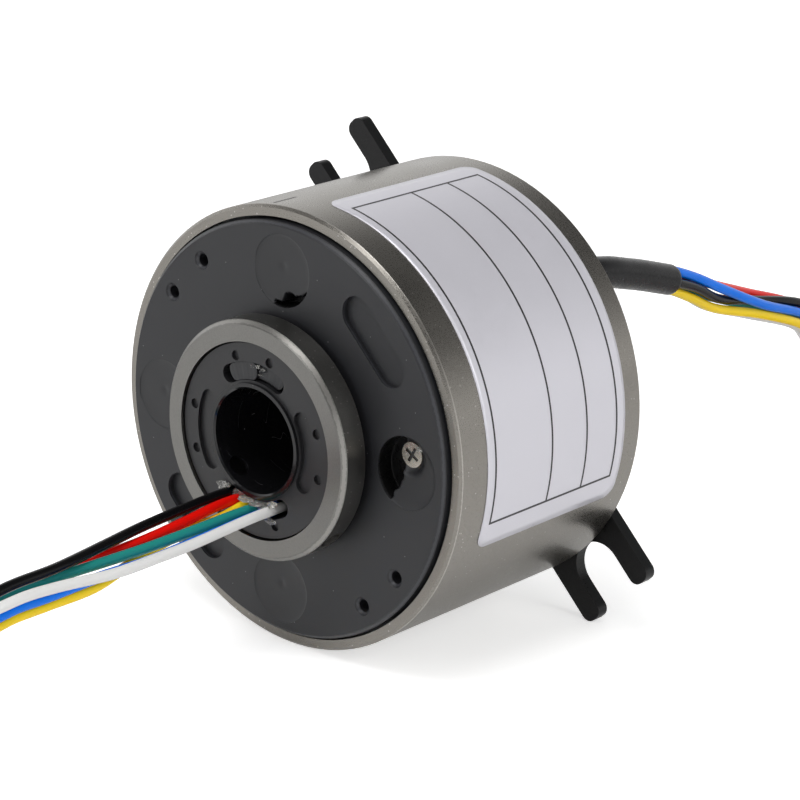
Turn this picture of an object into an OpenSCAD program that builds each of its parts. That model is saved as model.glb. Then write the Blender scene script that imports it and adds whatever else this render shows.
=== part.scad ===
// Through-bore slip ring with six circuits. Its axis runs along X, from the rotor's lead side at -X
// to the stator's fork side at +X. The origin is on that axis, in the plane of the housing's front rim.

/* [Housing] */
// Outside diameter of the housing tube
housing_d = 54; // [53.5:0.1:58]
// Length of the housing tube
housing_l = 33; // [33:0.5:48]
// Wall of the housing tube
housing_wall = 1.35; // [1:0.05:1.6]
// Chamfer on both outer edges of the housing tube
edge_chamfer = 0.35; // [0.2:0.05:0.6]

/* [Front cap] */
// Distance that the front cap stands proud of the rim
cap_proud = 1; // [0.6:0.1:2]
// Thickness of the front cap's face plate
cap_plate_t = 2.6; // [2.4:0.1:3.4]
// Open gap between the front cap and the rim
cap_rim_gap = 0.35; // [0.2:0.05:0.5]
// Chamfer on the front cap's edge
cap_chamfer = 0.45; // [0.2:0.05:0.7]
// Diameter of the four potted screw pockets
pocket_d = 8.8; // [8:0.1:9]
// Depth of the screw pockets below the cap's face
pocket_depth = 2.2; // [2:0.1:2.6]
// Cap wall between a pocket and the front cap's edge
pocket_wall = 1.2; // [0.8:0.1:1.6]
// Sideways offset of each screw in its pocket
screw_offset = 2; // [1.6:0.1:2.2]
// Length of the two oblong recesses
oblong_l = 11.8; // [9:0.1:13]
// Width of the two oblong recesses
oblong_w = 4.4; // [3.6:0.1:4.8]
// Depth of the two oblong recesses
oblong_depth = 0.8; // [0.4:0.1:1.2]
// Diameter of the four pilot holes
pilot_d = 1.5; // [1.2:0.1:1.8]
// Distance from the axis to the pilot holes
pilot_r = 22.5; // [22:0.1:23]
// Half the angle between the pilot holes of a pair
pilot_spread = 9; // [8:0.5:12]
// Depth of the pilot holes
pilot_depth = 3; // [2:0.5:4]

/* [Rear cap] */
// Distance that the rear cap's flange stands behind the housing tube
flange_t = 2.05; // [1.8:0.05:3]
// Thickness of the two forks
fork_t = 1.65; // [1.4:0.05:1.8]
// Width across both prongs of a fork
fork_w = 12.8; // [12:0.1:14]
// Width of the slot in a fork
fork_slot_w = 6.9; // [5:0.1:7.4]
// Diameter of the circle through the roots of the two slots
fork_pcd = 60; // [59.5:0.1:62]
// Distance from the axis to the tips of the prongs
fork_reach = 34.7; // [34:0.1:38]
// Radius on the corners of the prongs
fork_round = 1.2; // [0.6:0.1:1.6]

/* [Rotor] */
// Diameter of the through bore for the shaft
bore_d = 12.7; // [12:0.1:13]
// Wall of the rotor's inner sleeve
sleeve_wall = 0.65; // [0.5:0.05:0.7]
// Outside diameter of the clamping collar
collar_d = 29; // [27.5:0.1:30]
// Length of the clamping collar
collar_l = 3.8; // [3.6:0.1:6]
// Open gap between the collar and the front cap
collar_gap = 0.9; // [0.8:0.05:1.4]
// Chamfer on the collar's outer edges
collar_chamfer = 0.55; // [0.3:0.05:0.7]
// Outside diameter of the lead insert inside the collar
insert_d = 23.5; // [23:0.1:24]
// Open gap between the insert and the collar
insert_gap = 0.2; // [0.1:0.05:0.25]
// Distance that the insert lies below the collar's face
insert_recess = 0.4; // [0.2:0.05:0.6]
// Distance from the axis to the middle of the kidney slots
kidney_r = 8.4; // [8.3:0.05:8.5]
// Width of the kidney slots
kidney_w = 2.2; // [1.9:0.05:2.2]
// Half the angle that a kidney slot's centreline covers
kidney_half_angle = 27; // [20:1:32]
// Depth of the two blind kidney slots
kidney_depth = 0.5; // [0.3:0.05:0.8]
// Size of the grub screws' threads
grub_d = 2.5; // [2:0.1:2.6]
// Distance that the rotor reaches behind the rear cap
rotor_tail = 0.8; // [0.4:0.1:3]

/* [Bearings] */
// Bore of the two thin bearings
bearing_bore_d = 20; // [19.8:0.05:20.2]
// Outside diameter of the two thin bearings
bearing_outer_d = 27; // [26.8:0.1:27.6]
// Width of the two thin bearings
bearing_w = 4; // [3.6:0.1:5]
// Number of balls in a bearing
ball_count = 14; // [8:1:16]

/* [Contacts] */
// Distance from one contact ring to the next
ring_pitch = 2.8; // [2.6:0.05:3]
// Width of a contact ring
ring_w = 1.4; // [1:0.05:1.6]
// Outside diameter of the contact rings
ring_d = 23.6; // [23:0.1:24]
// Radial thickness of a contact ring
ring_t = 1.8; // [1.6:0.1:2]
// Diameter of the brush wires
brush_wire_d = 0.4; // [0.3:0.05:0.5]
// Running gap between a brush wire and its ring
brush_gap = 0.03; // [0.02:0.01:0.1]

/* [Leads] */
// Outside diameter of a lead
lead_d = 1.25; // [1.15:0.01:1.27]
// Outside diameter of the sleeve round the stator's leads
lead_sleeve_d = 4; // [3.9:0.05:4.2]

/* [Hidden] */

$fn = 96;
cut = 0.5;                                   // how far a cutting tool runs past the face it opens

// Places along the axis
cap_face_x = -cap_proud;
cap_back_x = cap_face_x + cap_plate_t;       // the front bearing's outer race rests here
collar_back_x = cap_face_x - collar_gap;
collar_face_x = collar_back_x - collar_l;
insert_face_x = collar_face_x + insert_recess;
seat_web = 1;                                // cap wall behind each bearing
front_body_x = cap_back_x + bearing_w + seat_web;
flange_back_x = housing_l + flange_t;
rear_plate_x = housing_l - cap_back_x;       // the rear bearing's outer race rests here
rear_bearing_x = rear_plate_x - bearing_w;
rear_body_x = rear_bearing_x - seat_web;
fork_x = flange_back_x - fork_t;
rotor_end_x = flange_back_x + rotor_tail;
sleeve_proud = 0.3;
sleeve_end_x = rotor_end_x + sleeve_proud;

// Radii
housing_r = housing_d / 2;
housing_bore_r = housing_r - housing_wall;
cap_r = housing_bore_r - cap_rim_gap;
pocket_r = cap_r - pocket_wall - pocket_d / 2;
race_r = bearing_outer_d / 2;
core_r = bearing_bore_d / 2;
race_t = 1.1;                                // radial thickness of a bearing race
ball_r = 0.95;
ball_slack = 0.03;
ball_pitch_r = (race_r + core_r) / 2;
race_lip = 0.7;
relief = 0.1;                                // clearance beside a bearing seat
lip_r = race_r - race_t - race_lip;          // the caps' holes stop short of the inner races
neck_r = core_r + race_t + relief;
shoulder_r = core_r + race_t - 0.2;
ring_seat_r = ring_d / 2 - ring_t;
barrier_rise = 0.6;
barrier_r = ring_d / 2 + barrier_rise;
sleeve_r = bore_d / 2 + sleeve_wall;
mouth_chamfer = 0.2;
insert_r = insert_d / 2;
collar_bore_r = insert_r + insert_gap;
head_flange_r = collar_bore_r + 0.65;
head_flange_t = 0.7;
clip_depth = 0.6;                            // groove of the retaining ring behind the rear bearing
clip_rise = 0.7;
clip_t = 0.9;
clip_gap = 2.4;
open_slot_depth = 2.4;
dimple_r = 0.6;
dimple_gap = 0.75;
dimple_depth = 0.4;
dimple_spread = 15.4;
potting_sink = 0.25;                         // the upper slot's potting lies below the insert's face

// Smaller details of the caps
potting_low = 0.05;                          // the pockets' potting lies just below the cap's face
pilot_sink = 0.4;
oblong_out = 0.6;                            // the oblong recesses lie further out than the pockets
boss_r = 2.6;
root_reach = 0.02;                           // the round root of a fork's slot is cut clear through

// Angles, counted from +Y towards +Z
pocket_angles = [90, 180, 270, 0];
rotor_phase = -3;                            // the rotor stands a little off the square of the cap
lead_slot_angle = 270 + rotor_phase + 1.5;   // the leads' slot reaches further on one side
lead_slot_half_angle = kidney_half_angle + 1.5;
open_slot_angle = 90 + rotor_phase;
potting_end_y = -kidney_r * 0.42;
potting_break_y = -kidney_r * 0.04;

// Contact rings
ring_count = 6;
stack_mid_x = (cap_back_x + bearing_w + rear_bearing_x) / 2;
function ring_x(i) = stack_mid_x + (i - (ring_count + 1) / 2) * ring_pitch;
groove_depth = 0.3;
barrier_front_x = ring_x(1) - ring_pitch / 2 - ring_w / 2;
barrier_back_x = ring_x(ring_count) + ring_pitch / 2 + ring_w / 2;

// Brush blocks
block_w = 10;
block_h = 5.4;
block_low_z = pocket_r - block_h / 2;
screw_r = 1;
screw_clear = 0.15;
screw_head_r = 1.5;
screw_head_h = 1.3;
screw_head_x = cap_face_x + pocket_depth - screw_head_h;
screw_slot_l = 2;
screw_slot_w = 0.4;
screw_slot_depth = 0.5;
brush_run = 2.5;                             // how far a brush wire runs on past its ring

// Bands that hold the balls apart
cage_w = 1.2;
cage_t = 0.4;

// What has broken away from the potting of the first two pockets, seen from the front about each centre
top_break = [[4.6, -1.6], [2.8, -2.8], [1.9, -2.9], [1, -2.6], [0.3, -3], [0, -4], [-1.2, -4.1], [-1.2, -5.5],
    [4.6, -5.5]];
top_break_depth = 1.5;
right_break = [[-0.9, 5.5], [-1.1, 3.3], [-1.2, 0.7], [-1, -0.7], [-1.9, -2.1], [-2.5, -3.8], [-2.5, -5.5],
    [-5.5, -5.5], [-5.5, 5.5]];

// Grub screws
grub_x = (insert_face_x + collar_back_x) / 2;
grub_clear = 0.05;
grub_angles = [223.5, 313.5];
grub_bite = 0.4;                             // the screw's point presses into the sleeve's wall
grub_sink = 0.8;
grub_socket_depth = 1.4;

// The plane that the part touches with its rim's foot and its lowest prong
fork_low = (fork_reach + fork_w / 2 - 2 * fork_round * (1 - cos(45))) * sin(45);
rest_slope = (fork_low - housing_r) / fork_x;
rest_angle = atan(rest_slope);
function rest_z(x) = -housing_r - rest_slope * x;

// Lead coils: every lead winds inwards, in two columns and three rows, on a tie that lies under the coil
wind_step = 1.4;
wind_outer_r = 18;
tie_w = 4;
tie_t = 0.3;
coil_outer_r = wind_outer_r + lead_d / 2 + 0.05;
coil_inner_r = 8.3;
coil_h = 2 * wind_step + lead_d + 0.1;
rotor_coil_at = [-73, 10];
stator_coil_at = [109, -24];

// Routes of the leads, chosen point by point: the seen stretch of each lead, then the common drop
lead_exit_x = insert_face_x + 0.4;
rotor_seen_black = [[lead_exit_x, 4.2, -7.35], [-9, 4.1, -7.3], [-16, 3.4, -7.2], [-22, 2.5, -7.05],
    [-28, 1.5, -7.05], [-36, 0.2, -7.0], [-45, -0.4, -7.0]];
rotor_seen_red = [[lead_exit_x, 3.0, -7.95], [-9, 2.8, -7.9], [-15, 2.1, -8.05], [-22, 1.8, -8.35],
    [-29, 2.3, -8.7], [-36, 2.3, -9.1], [-45, 2.2, -9.4]];
rotor_seen_yellow = [[lead_exit_x, 1.7, -8.3], [-9, 1.9, -9.05], [-15, 2.4, -9.45], [-24, 0.8, -9.9],
    [-32, -1.5, -10.0], [-39, -1.3, -10.2], [-45, -1.4, -10.3]];
rotor_seen_green = [[lead_exit_x, 0.3, -8.45], [-9, 0.4, -8.45], [-15, 0.1, -8.4], [-22, 0.1, -8.45],
    [-29, 0.4, -8.45], [-36, 0.8, -8.4], [-45, 0.9, -8.5]];
rotor_seen_blue = [[lead_exit_x, -1.05, -8.75], [-9, -1.1, -8.85], [-16, -1.4, -9.0], [-24, -1.7, -9.1],
    [-32, -2.0, -8.7], [-39, -1.9, -8.9], [-45, -2.0, -8.9]];
rotor_seen_white = [[lead_exit_x, -2.4, -8.1], [-9, -2.5, -8.1], [-18, -3.2, -8.2], [-24, -3.4, -8.2],
    [-31, -3.5, -8.1], [-39, -2.8, -7.6], [-45, -2.65, -7.55]];
rotor_drop = [[-52.5, -2.0, -10.4], [-57, -3.4, -13.2], [-61, -5.0, -16.5], [-65.5, -6.8, -19.7],
    [-69.5, -7.8, -21.2], [-73, -8.0, -21.2]];
stator_seen_red = [[55.87, -14.3, 11.03], [59.7, -14.2, 9.9], [66, -13.8, 7.2], [75, -13.6, 3.8],
    [84, -13.5, 1.1]];
stator_seen_black = [[55.61, -13.08, 10.18], [59.5, -12.9, 8.9], [66, -12.6, 6.2], [75, -12.6, 2.6],
    [84, -12.9, -0.4]];
stator_seen_white = [[55.2, -13.55, 8.81], [59, -13.4, 7.3], [65, -12.9, 3.9], [74, -12.5, -0.6],
    [84, -12.6, -4.5]];
stator_seen_blue = [[55.61, -15.52, 10.18], [59.5, -15.6, 8.9], [65, -15.7, 6.5], [74, -15.7, 2.7],
    [84, -15.5, -0.7]];
stator_seen_yellow = [[55.2, -15.05, 8.81], [59, -15.1, 7.4], [64, -15.1, 4.8], [73, -15.1, 1.4],
    [84, -15.1, -2.3]];
stator_seen_green = [[55.5, -14.3, 9.8], [59.3, -14.3, 8.4], [65, -13.9, 4.95], [74, -13.6, 0.6],
    [84, -13.9, -3.5]];
stator_drop = [[88.8, -12.9, -3.9], [92, -12.2, -6.9], [95, -11.2, -11.0], [97, -10.1, -15.7],
    [98.8, -8.9, -20.3], [100.8, -7.6, -24.6], [103.4, -6.5, -28.1], [106.5, -6.0, -29.5], [109.5, -6.0, -29.75]];
sleeve_route = [[rear_body_x, -14.3, 14.3], [flange_back_x, -14.3, 14.3], [38, -14.3, 14.3],
    [41.5, -14.3, 13.8], [45, -14.3, 12.9], [48.5, -14.3, 11.95], [52, -14.3, 10.88], [55.5, -14.3, 9.8]];
lead_exit_yz = [-14.3, 14.3];

// Turns drawings in the YZ plane into solids along the axis
module along_axis(x = 0) translate([x, 0, 0]) rotate([90, 0, 90]) children();

// A plain ring from one place on the axis to another
module ring(x0, x1, inner_r, outer_r) along_axis(x0) difference() {
    cylinder(h = x1 - x0, r = outer_r);
    translate([0, 0, -cut]) cylinder(h = x1 - x0 + 2 * cut, r = inner_r);
}

// A turned solid from an outline of [radius, x] points
module turned(outline) along_axis() rotate_extrude() polygon(outline);

// A round hole or rod along the axis, at an angle and a distance from it
module round_at(angle, r, x0, x1, radius, sideways = 0) along_axis(x0) rotate([0, 0, angle])
    translate([r, sideways, 0]) cylinder(h = x1 - x0, r = radius, $fn = 48);

// A kidney slot's outline about the axis: two long arcs with a round end between them on both sides
function arc(centre, r, a0, a1, steps, skip = 0) = [for (k = [skip:steps - skip])
    let (a = a0 + (a1 - a0) * k / steps) centre + r * [cos(a), sin(a)]];
function kidney(half_angle, half_w) = concat(
    arc([0, 0], kidney_r + half_w, -half_angle, half_angle, 12),
    arc(kidney_r * [cos(half_angle), sin(half_angle)], half_w, half_angle, half_angle + 180, 10, 1),
    arc([0, 0], kidney_r - half_w, half_angle, -half_angle, 12),
    arc(kidney_r * [cos(half_angle), -sin(half_angle)], half_w, 180 - half_angle, 360 - half_angle, 10, 1));

module kidney_cut(angle, x0, x1, half_angle = kidney_half_angle) along_axis(x0) rotate([0, 0, angle])
    linear_extrude(height = x1 - x0) polygon(kidney(half_angle, kidney_w / 2));
module lead_slot_cut(x0, x1) kidney_cut(lead_slot_angle, x0, x1, lead_slot_half_angle);

// A slot with round ends, lying square to the radius at its angle
module oblong_cut(angle, r, x0, x1) along_axis(x0) rotate([0, 0, angle]) translate([r, 0, 0])
    linear_extrude(height = x1 - x0) {
        square([oblong_w, oblong_l - oblong_w], center = true);
        for (side = [-1, 1]) translate([0, side * (oblong_l - oblong_w) / 2]) circle(d = oblong_w, $fn = 48);
    }

// Sweeps a round section along a list of points
function unit(v) = v / norm(v);
function heading(path, i) = unit(path[min(i + 1, len(path) - 1)] - path[max(i - 1, 0)]);
function blend_point(a, b, c, d, t) = 0.5 * (2 * b + (c - a) * t + (2 * a - 5 * b + 4 * c - d) * t * t
    + (3 * b - a - 3 * c + d) * t * t * t);
function smooth(points, steps) = concat([for (i = [0:len(points) - 2]) for (k = [0:steps - 1])
    blend_point(points[max(i - 1, 0)], points[i], points[i + 1], points[min(i + 2, len(points) - 1)], k / steps)],
    [points[len(points) - 1]]);
module tube(path, radius, sides = 8) {
    rings = len(path);
    points = [for (i = [0:rings - 1])
        let (t = heading(path, i), up = unit(cross(t, [0, 1, 0])), side = cross(up, t))
        for (k = [0:sides - 1]) path[i] + radius * (cos(360 * k / sides) * side + sin(360 * k / sides) * up)];
    faces = concat(
        [[for (k = [0:sides - 1]) k]],
        [for (i = [0:rings - 2]) for (k = [0:sides - 1])
            [i * sides + k, (i + 1) * sides + k, (i + 1) * sides + (k + 1) % sides, i * sides + (k + 1) % sides]],
        [[for (k = [sides - 1:-1:0]) (rings - 1) * sides + k]]);
    polyhedron(points = points, faces = faces, convexity = 10);
}

// The common drop of a bundle, moved sideways for one lead's column, and square to its slope for its row
column_step = wind_step + 0.15;
function drop_route(drop, side_shift, row_shift) = [for (i = [0:len(drop) - 1])
    let (a = drop[max(i - 1, 0)], b = drop[min(i + 1, len(drop) - 1)], s = unit([b[0] - a[0], b[2] - a[2]]),
        up = s[0] > 0 ? [-s[1], s[0]] : [s[1], -s[0]])
    drop[i] + [row_shift * up[0], side_shift, row_shift * up[1]]];
// A lead in the coil's inner column meets the coil's solid sooner
function without_last(points, count) = [for (i = [0:len(points) - 1 - count]) points[i]];
function lead_route(seen, drop, side, column, row) = smooth(concat(seen,
    without_last(drop_route(drop, side * column * column_step, (row - 1) * wind_step), column)), 2);
module rotor_lead(seen, column, row) tube(lead_route(seen, rotor_drop, 1, column, row), lead_d / 2);
module stator_lead(seen, column, row) tube(lead_route(seen, stator_drop, -1, column, row), lead_d / 2);

module on_rest_plane(at) translate([at[0], at[1], rest_z(at[0])]) rotate([0, rest_angle, 0]) children();

module coil(at) on_rest_plane(at) translate([0, 0, tie_t]) difference() {
    cylinder(h = coil_h, r = coil_outer_r);
    translate([0, 0, -cut]) cylinder(h = coil_h + 2 * cut, r = coil_inner_r);
}

// A band round the coil's section, on the side away from the leads' entry
tie_inner_y = sqrt(coil_inner_r * coil_inner_r - tie_w * tie_w / 4);
tie_span = coil_outer_r - tie_inner_y;
module coil_tie(at, side) on_rest_plane(at) rotate([0, 0, side > 0 ? 0 : 180])
    translate([-tie_w / 2, tie_inner_y - tie_t, 0]) difference() {
        cube([tie_w, tie_span + 2 * tie_t, coil_h + 2 * tie_t]);
        translate([-cut, tie_t, tie_t]) cube([tie_w + 2 * cut, tie_span, coil_h]);
    }

module housing() color("#7d7a73") turned([
    [housing_bore_r, 0], [housing_r - edge_chamfer, 0], [housing_r, edge_chamfer],
    [housing_r, housing_l - edge_chamfer], [housing_r - edge_chamfer, housing_l], [housing_bore_r, housing_l]]);

module front_cap() color("#3b3c40") difference() {
    turned([
        [lip_r, cap_face_x], [cap_r - cap_chamfer, cap_face_x], [cap_r, cap_face_x + cap_chamfer],
        [cap_r, cap_back_x], [housing_bore_r, cap_back_x], [housing_bore_r, front_body_x],
        [race_r + relief, front_body_x], [race_r + relief, cap_back_x + bearing_w], [race_r, cap_back_x + bearing_w],
        [race_r, cap_back_x], [lip_r, cap_back_x]]);
    for (a = pocket_angles) {
        round_at(a, pocket_r, cap_face_x - cut, cap_face_x + pocket_depth, pocket_d / 2);
        round_at(a, pocket_r, cap_face_x, front_body_x + cut, screw_r + screw_clear, -screw_offset);
    }
    for (a = [135, 315]) oblong_cut(a, pocket_r + oblong_out, cap_face_x - cut, cap_face_x + oblong_depth);
    for (a = [45, 225], side = [-1, 1]) {
        round_at(a + side * pilot_spread, pilot_r, cap_face_x - cut, cap_face_x + pilot_depth, pilot_d / 2);
        along_axis(cap_face_x - cut) rotate([0, 0, a + side * pilot_spread]) translate([pilot_r, 0, 0])
            cylinder(h = pilot_sink + cut, r1 = pilot_d / 2 + pilot_sink + cut, r2 = pilot_d / 2, $fn = 48);
    }
}

module rear_cap() color("#1c1c1e") difference() {
    union() {
        turned([
            [lip_r, rear_plate_x], [race_r, rear_plate_x], [race_r, rear_bearing_x],
            [race_r + relief, rear_bearing_x], [race_r + relief, rear_body_x], [housing_bore_r, rear_body_x],
            [housing_bore_r, housing_l], [housing_r - edge_chamfer, housing_l],
            [housing_r - edge_chamfer, flange_back_x - edge_chamfer],
            [housing_r - 2 * edge_chamfer, flange_back_x], [lip_r, flange_back_x]]);
        for (a = [45, 225]) along_axis(fork_x) rotate([0, 0, a]) linear_extrude(height = fork_t) fork_prongs();
        for (a = [0, 180]) round_at(a, pocket_r, front_body_x, rear_body_x + cut, boss_r, -screw_offset);
    }
    for (a = [45, 225]) along_axis(fork_x - root_reach) rotate([0, 0, a]) translate([fork_pcd / 2, 0, 0])
        cylinder(h = fork_t + 2 * root_reach, r = fork_slot_w / 2);
    for (a = pocket_angles) round_at(a, pocket_r, front_body_x - cut, housing_l, screw_r, -screw_offset);
    along_axis(rear_body_x - cut) translate([lead_exit_yz[0], lead_exit_yz[1], 0])
        cylinder(h = flange_back_x - rear_body_x + 2 * cut, r = lead_sleeve_d / 2);
}

// Two prongs with round corners, and the solid root that joins them to the flange
module fork_prongs() difference() {
    union() {
        translate([race_r, -fork_w / 2]) square([fork_reach - fork_round - race_r, fork_w]);
        for (side = [-1, 1]) {
            for (y = [fork_slot_w / 2 + fork_round, fork_w / 2 - fork_round])
                translate([fork_reach - fork_round, side * y]) circle(r = fork_round, $fn = 40);
            translate([fork_reach - 2 * fork_round,
                side > 0 ? fork_slot_w / 2 + fork_round : fork_round - fork_w / 2])
                square([2 * fork_round, (fork_w - fork_slot_w) / 2 - 2 * fork_round]);
        }
    }
    translate([fork_pcd / 2, -fork_slot_w / 2]) square([fork_reach, fork_slot_w]);
}

module cap_screw(i) color("#c9c7c2") difference() {
    union() {
        round_at(pocket_angles[i - 1], pocket_r, screw_head_x, screw_head_x + screw_head_h, screw_head_r,
            -screw_offset);
        round_at(pocket_angles[i - 1], pocket_r, screw_head_x + screw_head_h, housing_l, screw_r, -screw_offset);
    }
    for (turn = [30, 120]) along_axis(screw_head_x - cut) rotate([0, 0, pocket_angles[i - 1]])
        translate([pocket_r, -screw_offset, 0]) rotate([0, 0, turn])
        translate([-screw_slot_l / 2, -screw_slot_w / 2, 0])
        cube([screw_slot_l, screw_slot_w, cut + screw_slot_depth]);
}

// Turns an outline seen from the front, with -Y to the right, into a cutter along the axis
module front_cut(y, z, x0, x1, outline) along_axis(x0) translate([y, z, 0])
    linear_extrude(height = x1 - x0) mirror([1, 0]) polygon(outline);

// Potting that fills a screw pocket, less what has broken away; only the second screw's head shows
module pocket_potting(i) color("#45464a") difference() {
    a = pocket_angles[i - 1];
    round_at(a, pocket_r, cap_face_x + potting_low, cap_face_x + pocket_depth, pocket_d / 2);
    round_at(a, pocket_r, i == 2 ? cap_face_x - cut : screw_head_x, cap_face_x + pocket_depth + cut,
        screw_head_r, -screw_offset);
    if (i == 1) front_cut(0, pocket_r, cap_face_x - cut, cap_face_x + top_break_depth, top_break);
    if (i == 2) front_cut(-pocket_r, 0, cap_face_x - cut, cap_face_x + pocket_depth + cut, right_break);
}

function brush_side(i) = i % 2 == 1 ? 1 : -1;
module brush_block(side) color("#6b4a2c") difference() {
    along_axis(front_body_x) rotate([0, 0, side > 0 ? 0 : 180]) translate([-block_w / 2, block_low_z, 0])
        cube([block_w, block_h, rear_body_x - front_body_x]);
    round_at(side > 0 ? 90 : 270, pocket_r, front_body_x - cut, rear_body_x + cut, screw_r + screw_clear,
        -screw_offset);
    for (i = [1:ring_count]) if (brush_side(i) == side)
        rod([ring_x(i), -block_w, side * block_low_z], [ring_x(i), block_w, side * block_low_z],
            brush_wire_d / 2);
}

// A hairpin of spring wire whose two legs run past the ring's groove on both sides
module rod(a, b, radius) {
    d = b - a;
    translate(a) rotate([0, acos(d[2] / norm(d)), atan2(d[1], d[0])]) cylinder(h = norm(d), r = radius, $fn = 24);
}
module brush(i) {
    wire_r = brush_wire_d / 2;
    bar_z = block_low_z;
    bar_y = block_w / 2 + wire_r;
    touch_r = ring_d / 2 - groove_depth + brush_gap + wire_r;
    touch_angle = atan2(bar_z, bar_y) - acos(touch_r / norm([bar_y, bar_z]));
    touch = touch_r * [cos(touch_angle), sin(touch_angle)];
    leg_end = touch + brush_run * unit(touch - [bar_y, bar_z]);
    color("#d9b25a") translate([ring_x(i), 0, 0]) rotate([brush_side(i) > 0 ? 0 : 180, 0, 0]) {
        rod([0, -bar_y, bar_z], [0, bar_y, bar_z], wire_r);
        for (side = [-1, 1]) {
            translate([0, side * bar_y, bar_z]) sphere(r = wire_r, $fn = 24);
            rod([0, side * bar_y, bar_z], [0, side * leg_end[0], leg_end[1]], wire_r);
        }
    }
}

module bearing_race(x, inner_r, outer_r) color("#b9bcc0") along_axis() rotate_extrude() difference() {
    translate([inner_r, x]) square([outer_r - inner_r, bearing_w]);
    translate([ball_pitch_r, x + bearing_w / 2]) circle(r = ball_r + ball_slack, $fn = 48);
}

module ball_cage(x) color("#c8a24a") {
    ring(x + (bearing_w - cage_w) / 2, x + (bearing_w + cage_w) / 2, ball_pitch_r - cage_t / 2,
        ball_pitch_r + cage_t / 2);
    for (k = [0:ball_count - 1]) along_axis(x + bearing_w / 2) rotate([0, 0, 360 * k / ball_count])
        translate([ball_pitch_r, 0, 0]) sphere(r = ball_r, $fn = 32);
}

module lead_sleeve() color("#161618") tube(smooth(sleeve_route, 2), lead_sleeve_d / 2, 12);

module grub_hole(i, from_r, to_r, radius) translate([grub_x, 0, 0]) rotate([grub_angles[i - 1], 0, 0])
    translate([0, from_r, 0]) rotate([-90, 0, 0]) cylinder(h = to_r - from_r, r = radius, $fn = 48);

module rotor_sleeve() color("#0c0c0e") difference() {
    turned([
        [sleeve_r, collar_face_x], [bore_d / 2 + mouth_chamfer, collar_face_x],
        [bore_d / 2, collar_face_x + mouth_chamfer], [bore_d / 2, sleeve_end_x - mouth_chamfer],
        [bore_d / 2 + mouth_chamfer, sleeve_end_x], [sleeve_r, sleeve_end_x]]);
    for (i = [1:2]) grub_hole(i, 1, housing_r, grub_d / 2 + grub_clear);
}

module rotor_head() color("#2c2c30") difference() {
    turned([
        [sleeve_r, collar_back_x], [head_flange_r, collar_back_x], [head_flange_r, collar_back_x + head_flange_t],
        [neck_r, collar_back_x + head_flange_t], [neck_r, cap_back_x], [sleeve_r, cap_back_x]]);
    lead_slot_cut(collar_back_x - cut, cap_back_x + cut);
}

module rotor_core() color("#2c2c30") difference() {
    turned(concat(
        [[sleeve_r, cap_back_x], [core_r, cap_back_x], [core_r, cap_back_x + bearing_w],
            [shoulder_r, cap_back_x + bearing_w], [shoulder_r, barrier_front_x], [barrier_r, barrier_front_x]],
        [for (i = [1:ring_count]) for (p = [[barrier_r, -1], [ring_seat_r, -1], [ring_seat_r, 1], [barrier_r, 1]])
            [p[0], ring_x(i) + p[1] * ring_w / 2]],
        [[barrier_r, barrier_back_x], [shoulder_r, barrier_back_x], [shoulder_r, rear_bearing_x],
            [core_r, rear_bearing_x], [core_r, rear_plate_x], [core_r - clip_depth, rear_plate_x],
            [core_r - clip_depth, rear_plate_x + clip_t], [core_r, rear_plate_x + clip_t],
            [core_r, rotor_end_x - edge_chamfer], [core_r - edge_chamfer, rotor_end_x], [sleeve_r, rotor_end_x]]));
    lead_slot_cut(cap_back_x - cut, ring_x(ring_count) + ring_w);
}

module contact_ring(i) color("#d8a93f") turned([
    [ring_seat_r, ring_x(i) - ring_w / 2], [ring_d / 2, ring_x(i) - ring_w / 2],
    [ring_d / 2, ring_x(i) - brush_wire_d], [ring_d / 2 - groove_depth, ring_x(i) - brush_wire_d * 0.75],
    [ring_d / 2 - groove_depth, ring_x(i) + brush_wire_d * 0.75], [ring_d / 2, ring_x(i) + brush_wire_d],
    [ring_d / 2, ring_x(i) + ring_w / 2], [ring_seat_r, ring_x(i) + ring_w / 2]]);

module retaining_ring() color("#8b8d90") difference() {
    ring(rear_plate_x, rear_plate_x + clip_t, core_r - clip_depth, core_r + clip_rise);
    along_axis(rear_plate_x - cut) rotate([0, 0, 60]) translate([core_r - 2 * clip_depth, -clip_gap / 2, 0])
        cube([3 * clip_depth + clip_rise, clip_gap, clip_t + 2 * cut]);
}

module insert() color("#38393d") difference() {
    ring(insert_face_x, collar_back_x, sleeve_r, insert_r);
    lead_slot_cut(insert_face_x - cut, collar_back_x + cut);
    kidney_cut(open_slot_angle, insert_face_x - cut, insert_face_x + open_slot_depth);
    for (turn = [90, 270])
        kidney_cut(open_slot_angle + turn, insert_face_x - cut, insert_face_x + kidney_depth);
    for (turn = [0:90:270], side = [-1, 1])
        round_at(turn + rotor_phase + side * dimple_spread, kidney_r + kidney_w / 2 + dimple_gap,
            insert_face_x - cut, insert_face_x + dimple_depth, dimple_r);
    for (i = [1:2]) grub_hole(i, 1, housing_r, grub_d / 2 + grub_clear);
}

module collar() color("#77756f") difference() {
    turned([
        [collar_bore_r, collar_face_x], [collar_d / 2 - collar_chamfer, collar_face_x],
        [collar_d / 2, collar_face_x + collar_chamfer], [collar_d / 2, collar_back_x - collar_chamfer / 2],
        [collar_d / 2 - collar_chamfer / 2, collar_back_x], [collar_bore_r, collar_back_x]]);
    for (i = [1:2]) grub_hole(i, 1, housing_r, grub_d / 2);
}

module grub_screw(i) color("#55565a") difference() {
    grub_hole(i, sleeve_r - grub_bite, collar_d / 2 - grub_sink, grub_d / 2);
    translate([grub_x, 0, 0]) rotate([grub_angles[i - 1], 0, 0])
        translate([0, collar_d / 2 - grub_sink - grub_socket_depth, 0])
        rotate([-90, 0, 0]) cylinder(h = grub_socket_depth + cut, d = grub_d / 2, $fn = 6);
}

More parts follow.
